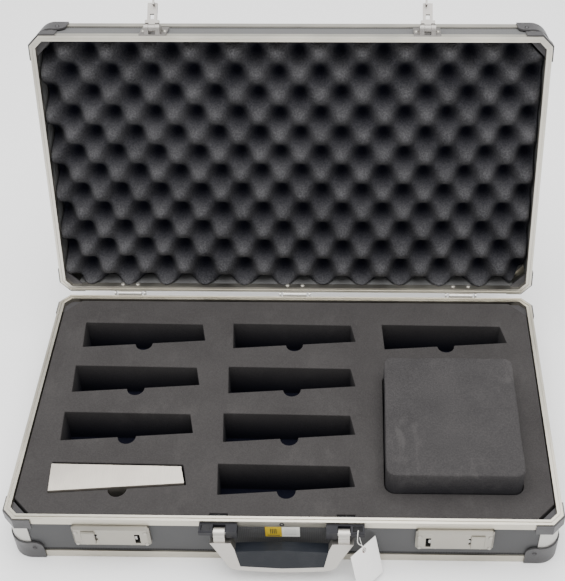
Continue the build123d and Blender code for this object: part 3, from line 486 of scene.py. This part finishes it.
@dataclass(frozen=True)
class Sticker:
    """A vinyl label: a yellow half with plain dark bars and a white half with grey rules."""

    name: str
    yellow: Colour = (0.569, 0.395, 0.00632)
    white: Colour = (0.78, 0.78, 0.74)
    ink: Colour = (0.03, 0.03, 0.03)
    grey: Colour = (0.36, 0.36, 0.36)
    bars_at: tuple[float, ...] = (-0.0110, -0.0045, 0.0395, 0.0475)
    rules_at: tuple[float, ...] = (0.0015, 0.0125, 0.0375, 0.0485)
    foot_at: tuple[float, ...] = (-0.0135, -0.0025, 0.0363, 0.0375)

    def zone(self, across: Value, up: Value, edges: tuple[float, ...]) -> Value:
        """1 inside a rectangle given by its left, right, lower and upper edge."""
        left, right, low, high = edges
        return (across > left) * (across < right) * (up > low) * (up < high)

    def build(self) -> bpy.types.Material:
        """Make the label's material."""
        shade = Shade(self.name)
        across = shade.axis((1, 0, 0))
        up = shade.axis((0, 0, 1))
        right = shade.span(across, -0.0007, -0.0004)
        colour = shade.mix(right, self.yellow, self.white)
        bars = shade.node(
            "ShaderNodeTexWave",
            {"wave_type": "BANDS", "bands_direction": "X"},
            {"Vector": shade.place, "Scale": 190.0},
            "Fac",
        )
        square = self.zone(across, up, self.bars_at)
        colour = shade.mix(square * shade.span(bars, 0.3, 0.5), colour, self.ink)
        rules = shade.node(
            "ShaderNodeTexWave",
            {"wave_type": "BANDS", "bands_direction": "Z"},
            {"Vector": shade.place, "Scale": 150.0},
            "Fac",
        )
        lines = self.zone(across, up, self.rules_at)
        colour = shade.mix(lines * (rules > 0.86) * 0.8, colour, self.grey)
        foot = self.zone(across, up, self.foot_at)
        colour = shade.mix(foot, colour, self.ink)
        worn = shade.span(shade.noise(300.0, 3.0), 0.3, 0.7)
        return shade.finish(colour, 0.35 + worn * 0.15, height=worn, depth=0.00003)


@dataclass(frozen=True)
class Cotton:
    """Twisted white string."""

    name: str
    base: Colour

    def build(self) -> bpy.types.Material:
        """Make the string's material."""
        shade = Shade(self.name)
        twist = shade.node(
            "ShaderNodeTexWave",
            {"wave_type": "BANDS", "bands_direction": "DIAGONAL"},
            {"Vector": shade.place, "Scale": 500.0, "Distortion": 1.0},
            "Fac",
        )
        colour = shade.mix(twist, tuple(c * 0.75 for c in self.base), self.base)
        return shade.finish(colour, 0.85, height=twist, depth=0.0001)


# ---- where things are ----------------------------------------------------------------
@dataclass(frozen=True)
class Layout:
    """Places read from the frame: the hinge, the open lid and the case's levels."""

    lid_height: float = 0.042
    rim_gap: float = 0.0004

    def hinge(self) -> dict[str, object]:
        """The lid hinge's joint."""
        joints = frame["record"]["behaviour"]["joints"]
        return next(j for j in joints if j["name"] == "lid_hinge")

    def lid_matrix(self) -> Matrix:
        """From the lid's own frame, z up from its outer face to its rim, to the open lid."""
        hinge = self.hinge()
        pivot = Vector(hinge["pos_m"])
        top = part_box("base_rim")[1][2] + self.rim_gap + self.lid_height
        closed = Matrix.Translation((0, 0, top)) @ Matrix.Diagonal((1, -1, -1, 1))
        turn = Matrix.Rotation(radians(hinge["range_deg"][0]), 4, "X")
        return Matrix.Translation(pivot) @ turn @ Matrix.Translation(-pivot) @ closed

    def lid_up(self) -> tuple[Point, float]:
        """The open lid's own upward direction, and its outer face's distance along it."""
        matrix = self.lid_matrix()
        up = matrix.to_3x3() @ Vector((0, 0, 1))
        return tuple(up), up.dot(matrix.translation)


# ---- mesh helpers --------------------------------------------------------------------
def place_mesh(name: str, mesh: bmesh.types.BMesh, body: str, material: bpy.types.Material,
               smooth: bool = True) -> bpy.types.Object:
    """Turn a bmesh into a finished piece that rides on a body.

    Args:
        name: the piece's name.
        mesh: its geometry, in the row frame.
        body: the body it rides on.
        material: its finish.
        smooth: whether its faces are shaded smooth.

    Returns:
        The piece.
    """
    data = bpy.data.meshes.new(name)
    mesh.to_mesh(data)
    mesh.free()
    data.materials.append(material)
    for face in data.polygons:
        face.use_smooth = smooth
    piece = bpy.data.objects.new(name, data)
    bpy.context.scene.collection.objects.link(piece)
    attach(piece, body)
    LOG.info("%s: %d faces on %s", name, len(data.polygons), body)
    return piece


def merged_copy(node: str) -> bmesh.types.BMesh:
    """A CAD node's shape with its triangles joined into whole faces."""
    mesh = bmesh.new()
    mesh.from_mesh(frame["nodes"][node].data)
    bmesh.ops.remove_doubles(mesh, verts=mesh.verts, dist=1e-6)
    bmesh.ops.dissolve_limit(
        mesh, angle_limit=radians(1), verts=mesh.verts, edges=mesh.edges
    )
    return mesh


def soften(mesh: bmesh.types.BMesh, width: float, segments: int, sharp: float = 40.0) -> None:
    """Round every edge that turns by more than an angle.

    Args:
        mesh: the mesh to round.
        width: how far the rounding reaches, in metres.
        segments: the number of faces across it.
        sharp: the angle in degrees.
    """
    edges = [
        e for e in mesh.edges
        if e.is_manifold and e.calc_face_angle(0.0) > radians(sharp)
    ]
    bmesh.ops.bevel(
        mesh, geom=edges, offset=width, segments=segments, affect="EDGES",
        profile=0.5, material=-1, clamp_overlap=True,
    )


# ---- soft pieces ---------------------------------------------------------------------
@dataclass
class FoamInsert:
    """The base's foam insert with softly cut pocket edges."""

    finish: Foam
    edge: float = 0.0007
    segments: int = 2

    def build(self) -> bpy.types.Object:
        """Make the insert in place of its plain solid."""
        mesh = merged_copy("base_foam_insert")
        soften(mesh, self.edge, self.segments)
        bmesh.ops.triangulate(mesh, faces=[f for f in mesh.faces if len(f.verts) > 4])
        piece = place_mesh(
            "foam_insert_cut", mesh, "case", self.finish.build(), False
        )
        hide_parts("base_foam_insert")
        return piece


@dataclass
class FoamPad:
    """The lift-out pad: a thick foam block with soft corners and a slightly uneven face."""

    finish: Foam
    edge: float = 0.0016
    segments: int = 3
    unevenness: float = 0.0007
    cut: float = 0.006

    def build(self) -> bpy.types.Object:
        """Make the pad in place of its plain solid."""
        mesh = merged_copy("foam_pad")
        low, high = (Vector(p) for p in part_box("foam_pad"))
        soften(mesh, self.edge, self.segments)
        for axis in range(3):
            steps = int((high[axis] - low[axis]) / self.cut)
            normal = Vector([1.0 if i == axis else 0.0 for i in range(3)])
            for step in range(1, steps):
                at = low.copy()
                at[axis] += (high[axis] - low[axis]) * step / steps
                geometry = list(mesh.verts) + list(mesh.edges) + list(mesh.faces)
                bmesh.ops.bisect_plane(mesh, geom=geometry, plane_co=at, plane_no=normal)
        bmesh.ops.triangulate(mesh, faces=[f for f in mesh.faces if len(f.verts) > 4])
        for vert in mesh.verts:
            wave = noise.noise(vert.co * 28.0) + 0.4 * noise.noise(vert.co * 90.0)
            vert.co += vert.normal * (wave - 0.5) * self.unevenness
        piece = place_mesh("foam_pad_soft", mesh, "pad", self.finish.build())
        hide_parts("foam_pad")
        return piece


@dataclass
class EggCrate:
    """The lid's egg-crate foam: staggered domes with deep pits between them."""

    finish: Foam
    layout: Layout
    pitch_x: float = 0.0415
    pitch_y: float = 0.043
    first_x: float = -0.220
    first_y: float = 0.120
    peak: float = 0.0400
    depth: float = 0.031
    bottom: float = 0.0046
    margin: float = 0.0058
    chamfer: float = 0.0171
    step: float = 0.0017
    ragged: float = 0.0012
    drift: float = 0.0022
    roundness: float = 0.8
    roughness: float = 0.0004
    keep: float = 0.3
    half_width: float = 0.25
    half_depth: float = 0.14

    def height(self, x: float, y: float) -> float:
        """The foam's height in the lid's frame at a place on it."""
        place = Vector((x * 9.0, y * 9.0, 0.3))
        wobble_x = self.drift * noise.noise(place)
        wobble_y = self.drift * noise.noise(place + Vector((7.0, 3.0, 0.0)))
        a = cos(2 * pi * (x + wobble_x - self.first_x) / self.pitch_x)
        b = cos(2 * pi * (y + wobble_y - self.first_y) / self.pitch_y)
        level = 0.5 + 0.5 * a * b
        dome = level ** self.roundness
        rough = self.roughness * noise.noise(Vector((x, y, 0.0)) * 260.0)
        return self.peak - self.depth * (1 - dome) + rough

    def build(self) -> bpy.types.Object:
        """Make the foam in place of its plain sheet."""
        half_x = self.half_width - self.margin
        half_y = self.half_depth - self.margin
        mesh = bmesh.new()
        bmesh.ops.create_grid(
            mesh,
            x_segments=int(2 * half_x / self.step),
            y_segments=int(2 * half_y / self.step),
            size=1.0,
            matrix=Matrix.Diagonal((half_x, half_y, 1, 1)),
        )
        for turn_x in (-1, 1):
            for turn_y in (-1, 1):
                normal = Vector((turn_x, turn_y, 0)).normalized()
                corner = Vector((turn_x * (half_x - self.chamfer), turn_y * half_y, 0))
                bmesh.ops.bisect_plane(
                    mesh,
                    geom=list(mesh.verts) + list(mesh.edges) + list(mesh.faces),
                    plane_co=corner,
                    plane_no=normal,
                    clear_outer=True,
                )
        rim = [e for e in mesh.edges if e.is_boundary]
        edge = {v for e in rim for v in e.verts}
        for vert in mesh.verts:
            vert.co.z = self.height(vert.co.x, vert.co.y)
        for vert in edge:
            x, y = vert.co.x, vert.co.y
            torn = self.ragged * (0.5 + noise.noise(Vector((x, y, 0.0)) * 70.0))
            vert.co.x -= torn * x / self.half_width
            vert.co.y -= torn * y / self.half_depth
        skirt = bmesh.ops.extrude_edge_only(mesh, edges=rim)["geom"]
        foot = [v for v in skirt if isinstance(v, bmesh.types.BMVert)]
        for vert in foot:
            vert.co.z = self.bottom
        edges = [e for e in mesh.edges if e.is_boundary]
        bmesh.ops.contextual_create(mesh, geom=edges)
        bmesh.ops.recalc_face_normals(mesh, faces=mesh.faces)
        matrix = self.layout.lid_matrix()
        mesh.transform(matrix)
        piece = place_mesh(
            "egg_crate_foam", mesh, "lid", self.finish.build()
        )
        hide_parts("lid_foam")
        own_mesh(piece)
        return piece


# ---- tag and string ------------------------------------------------------------------
@dataclass
class HangTag:
    """The card tag, its string and the finishes of both."""

    card: Card
    cotton: Cotton
    diameter: float = 0.0007
    length: float = 0.0507
    hole: Point = (0.073, -0.155, 0.040)
    facing: Point = (0.746034, -0.558105, 0.363251)
    eyelet: float = 0.0021
    eyelet_wire: float = 0.00045
    eyelet_rounds: int = 32
    eyelet_sides: int = 8
    route: tuple[Point, ...] = (
        (0.071615, -0.154765, 0.039626),
        (0.073555, -0.156216, 0.040570),
        (0.072547, -0.154392, 0.045443),
        (0.067150, -0.153000, 0.046750),
        (0.067150, -0.153000, 0.058650),
        (0.067800, -0.145200, 0.058650),
        (0.068450, -0.145200, 0.046750),
        (0.071994, -0.153244, 0.040222),
    )

    def ring(self) -> bpy.types.Object:
        """The brown eyelet around the card's hole."""
        turn = Vector(self.facing).to_track_quat("Z", "Y").to_matrix().to_4x4()
        where = Matrix.Translation(self.hole) @ turn
        mesh = bmesh.new()
        loops = []
        for i in range(self.eyelet_rounds):
            a = 2 * pi * i / self.eyelet_rounds
            loop = []
            for j in range(self.eyelet_sides):
                b = 2 * pi * j / self.eyelet_sides
                out = self.eyelet + self.eyelet_wire * cos(b)
                point = Vector((out * cos(a), out * sin(a), self.eyelet_wire * sin(b)))
                loop.append(mesh.verts.new(where @ point))
            loops.append(loop)
        for i in range(self.eyelet_rounds):
            here, after = loops[i], loops[(i + 1) % self.eyelet_rounds]
            for j in range(self.eyelet_sides):
                k = (j + 1) % self.eyelet_sides
                mesh.faces.new((here[j], here[k], after[k], after[j]))
        bmesh.ops.recalc_face_normals(mesh, faces=mesh.faces)
        brown = Plastic("eyelet_enamel", (0.16, 0.07, 0.045), 0.4, (0.2, 0.1, 0.07))
        return place_mesh("tag_eyelet", mesh, "tag", brown.build())

    def build(self) -> bpy.types.Object:
        """Dress the card, and make its eyelet and its string."""
        self.ring()
        frame["nodes"]["hang_tag"].data.materials[0] = self.card.build()
        line = bpy.data.curves.new("tag_string_line", "CURVE")
        line.dimensions = "3D"
        spline = line.splines.new("NURBS")
        spline.points.add(len(self.route) - 1)
        for point, place in zip(spline.points, self.route):
            point.co = (*place, 1.0)
        spline.use_endpoint_u = True
        spline.order_u = 3
        line.bevel_depth = self.diameter / 2
        line.bevel_resolution = 3
        line.resolution_u = 12
        line.use_fill_caps = True
        line.materials.append(self.cotton.build())
        piece = bpy.data.objects.new("tag_string_loop", line)
        bpy.context.scene.collection.objects.link(piece)
        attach(piece, "case")
        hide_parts("tag_string")
        LOG.info("tag_string_loop: %d points", len(self.route))
        return piece


# ---- hard pieces ---------------------------------------------------------------------
@dataclass
class Dressing:
    """Finishes for the CAD nodes, by name or by the start of a name."""

    layout: Layout

    def finishes(self) -> dict[str, object]:
        """Every finish with the nodes that wear it, the most exact name last."""
        up, start = self.layout.lid_up()
        grey = (0.0553, 0.0553, 0.0569)
        speck = (0.0829, 0.0829, 0.0845)
        pale = (0.103, 0.103, 0.103)
        pale_speck = (0.142, 0.142, 0.141)
        lid_skin = Laminate("lid_laminate", pale, pale_speck, up, start)
        base_skin = Laminate("base_laminate", grey, speck, (0, 0, 1), 0.0)
        front = Laminate("front_laminate", grey, speck, (0, 0, 1), 0.0, dots=0.044)
        bright = (0.50, 0.472, 0.405)
        rim = Metal("rim_aluminium", bright, 0.26, Along.WIDTH)
        lid_bright = (0.70, 0.67, 0.59)
        lid_rim = Metal("lid_aluminium", lid_bright, 0.28, Along.WIDTH)
        side_rim = Metal("trim_aluminium", bright, 0.3, Along.WIDTH)
        post = Metal("post_aluminium", (0.5, 0.49, 0.46), 0.36, Along.HEIGHT)
        plate = PlateMetal("satin_plate", (0.34, 0.323, 0.285), 0.38)
        cast_arm = Metal("cast_bail", (0.47, 0.45, 0.42), 0.38, contrast=0.08, relief=0.00003)
        steel = Metal("zinc_steel", (0.46, 0.45, 0.43), 0.3, Along.WIDTH)
        cast = Metal("cast_hasp", (0.31, 0.295, 0.28), 0.4, contrast=0.25, relief=0.00006)
        brushed = Metal(
            "brushed_block", (0.57, 0.53, 0.47), 0.36, Along.DEPTH, 1600.0, 0.2, 0.00008
        )
        corner = Plastic(
            "corner_plastic", (0.0395, 0.0379, 0.0395), 0.42, (0.0592, 0.0569, 0.0585)
        )
        black = Plastic(
            "black_bracket", (0.008, 0.008, 0.011), 0.34, (0.016, 0.015, 0.02), shine=0.2
        )
        gusset = Plastic(
            "grey_gusset", (0.04, 0.038, 0.04), 0.5, (0.06, 0.058, 0.06), shine=0.3
        )
        grip = Plastic(
            "soft_grip", (0.007, 0.009, 0.013), 0.46, (0.016, 0.018, 0.023), 700.0, shine=0.24
        )
        wheel = Plastic("dial_wheel", (0.03, 0.03, 0.03), 0.4, (0.2, 0.2, 0.2))
        studs = Studs("stud_metal", (0.36, 0.345, 0.31), (0.06, 0.058, 0.06))
        return {
            "base_": base_skin, "lid_": lid_skin, "base_front_panel": front,
            "base_rim": rim, "lid_rim": lid_rim, "base_edge_trim": side_rim,
            "lid_edge_trim": lid_rim, "base_corner_posts": post,
            "lid_corner_posts": post, "base_frame_corners": corner,
            "lid_frame_corners": corner, "base_ball_corners": corner,
            "lid_ball_corners": corner, "base_corner_gussets": gusset,
            "lid_corner_gussets": gusset, "base_rivets": studs, "lid_rivets": studs,
            "hinge_": steel, "hasp_": cast, "lock_": plate, "lock_wheel_": wheel,
            "lock_bar_": steel, "lock_axles": steel, "handle_bracket_": black,
            "handle_bail": cast_arm, "handle_grip": grip, "handle_pins": steel,
            "handle_backing_plates": black, "handle_screws": steel,
            "tapered_block": brushed, "front_label": Sticker("label_print"),
        }

    def build(self) -> None:
        """Give each CAD node the finish with the longest matching name."""
        made: dict[str, bpy.types.Material] = {}
        finishes = self.finishes()
        for name, piece in frame["nodes"].items():
            keys = [k for k in finishes if name.startswith(k)]
            if not keys:
                continue
            finish = finishes[max(keys, key=len)]
            if finish.name not in made:
                made[finish.name] = finish.build()
            piece.data.materials.clear()
            piece.data.materials.append(made[finish.name])
            LOG.info("%s wears %s", name, finish.name)


# ---- studio --------------------------------------------------------------------------
@dataclass(frozen=True)
class Lamp:
    """One square soft lamp that faces a target."""

    name: str
    place: Point
    target: Point
    size: float
    power: float

    def build(self) -> None:
        """Hang the lamp."""
        data = bpy.data.lights.new(self.name, "AREA")
        data.size = self.size
        data.energy = self.power
        lamp = bpy.data.objects.new(self.name, data)
        lamp.location = self.place
        aim = Vector(self.target) - Vector(self.place)
        lamp.rotation_euler = aim.to_track_quat("-Z", "Y").to_euler()
        bpy.context.scene.collection.objects.link(lamp)


LAMPS = (
    Lamp("overhead_lamp", (0.1, 0.1, 2.2), (0, 0, 0), 2.4, 102.0),
    Lamp("front_lamp", (0.4, -2.0, 1.5), (0, 0, 0.1), 1.8, 17.0),
    Lamp("left_lamp", (-1.8, -0.4, 1.2), (0, 0, 0.1), 1.4, 11.0),
)


@dataclass(frozen=True)
class Studio:
    """A pale floor, soft light and the camera."""

    camera_place: Point = (0.060920, -0.700465, 0.913144)
    pitch: float = 0.757254
    roll: float = -0.013889
    yaw: float = 0.029800
    focal: float = 1123.83
    centre: tuple[float, float] = (327.93, 256.882)
    picture: tuple[float, float] = (565.0, 581.0)
    sky: float = 0.78
    sensor: float = 36.0
    floor_size: float = 6.0
    floor_drop: float = 0.0002
    floor_dark: Colour = (0.93, 0.93, 0.93)
    floor_light: Colour = (0.95, 0.95, 0.95)

    def floor(self) -> None:
        """A wide pale floor under the case."""
        mesh = bmesh.new()
        bmesh.ops.create_grid(
            mesh, x_segments=1, y_segments=1, size=self.floor_size,
            matrix=Matrix.Translation((0, 0, -self.floor_drop)),
        )
        data = bpy.data.meshes.new("pale_floor")
        mesh.to_mesh(data)
        mesh.free()
        shade = Shade("floor_paper")
        cloud = shade.noise(3.0, 2.0)
        data.materials.append(
            shade.finish(shade.mix(cloud, self.floor_dark, self.floor_light), 0.9)
        )
        floor = bpy.data.objects.new("pale_floor", data)
        bpy.context.scene.collection.objects.link(floor)

    def lights(self) -> None:
        """A large lamp overhead, two fills, and a pale sky."""
        for lamp in LAMPS:
            lamp.build()
        world = bpy.data.worlds.new("pale_sky")
        world.use_nodes = True
        backdrop = world.node_tree.nodes["Background"]
        backdrop.inputs["Color"].default_value = (1.0, 1.0, 1.0, 1.0)
        backdrop.inputs["Strength"].default_value = self.sky
        bpy.context.scene.world = world

    def camera(self) -> None:
        """The camera at its fitted place, with a small shift for the framing."""
        data = bpy.data.cameras.new("case_camera")
        data.sensor_fit = "HORIZONTAL"
        data.sensor_width = self.sensor
        width, height = self.picture
        data.lens = self.focal / width * data.sensor_width
        data.shift_x = -(self.centre[0] - width / 2) / width
        data.shift_y = (self.centre[1] - height / 2) / width
        data.clip_start = 0.01
        camera = bpy.data.objects.new("case_camera", data)
        turn = (
            Matrix.Rotation(self.yaw, 4, "Z")
            @ Matrix.Rotation(pi / 2 - self.pitch, 4, "X")
            @ Matrix.Rotation(self.roll, 4, "Z")
        )
        camera.matrix_world = Matrix.Translation(self.camera_place) @ turn
        bpy.context.scene.collection.objects.link(camera)
        bpy.context.scene.camera = camera

    def build(self) -> None:
        """Set up the whole studio."""
        self.floor()
        self.lights()
        self.camera()


def main() -> None:
    """Dress the case, make its soft pieces and light it."""
    layout = Layout()
    Dressing(layout).build()
    # Each foam's floor and full give the depth over which its painted shade fades in: pocket
    # walls, lid pits, pad sides.
    FoamInsert(
        Foam(
            "insert_foam", (0.0292, 0.0269, 0.0269), (0.049, 0.0458, 0.045), 800.0, 0.3,
            relief=0.0002, floor=0.022, full=0.058,
        )
    ).build()
    up, start = layout.lid_up()
    EggCrate(
        Foam(
            "egg_crate_foam", (0.0158, 0.0158, 0.0182), (0.0829, 0.0814, 0.0853), 560.0,
            relief=0.0009, up=up, floor=start + 0.012, full=start + 0.036,
        ),
        layout,
    ).build()
    FoamPad(
        Foam(
            "pad_foam", (0.0269, 0.0253, 0.0261), (0.0537, 0.0506, 0.0506), 700.0, 0.6,
            relief=0.0003, floor=0.03, full=0.0845,
        )
    ).build()
    HangTag(
        Card("tag_card", (0.92, 0.905, 0.89)), Cotton("tag_cotton", (0.85, 0.85, 0.82))
    ).build()
    Studio().build()


if __name__ == "__main__":
    main()
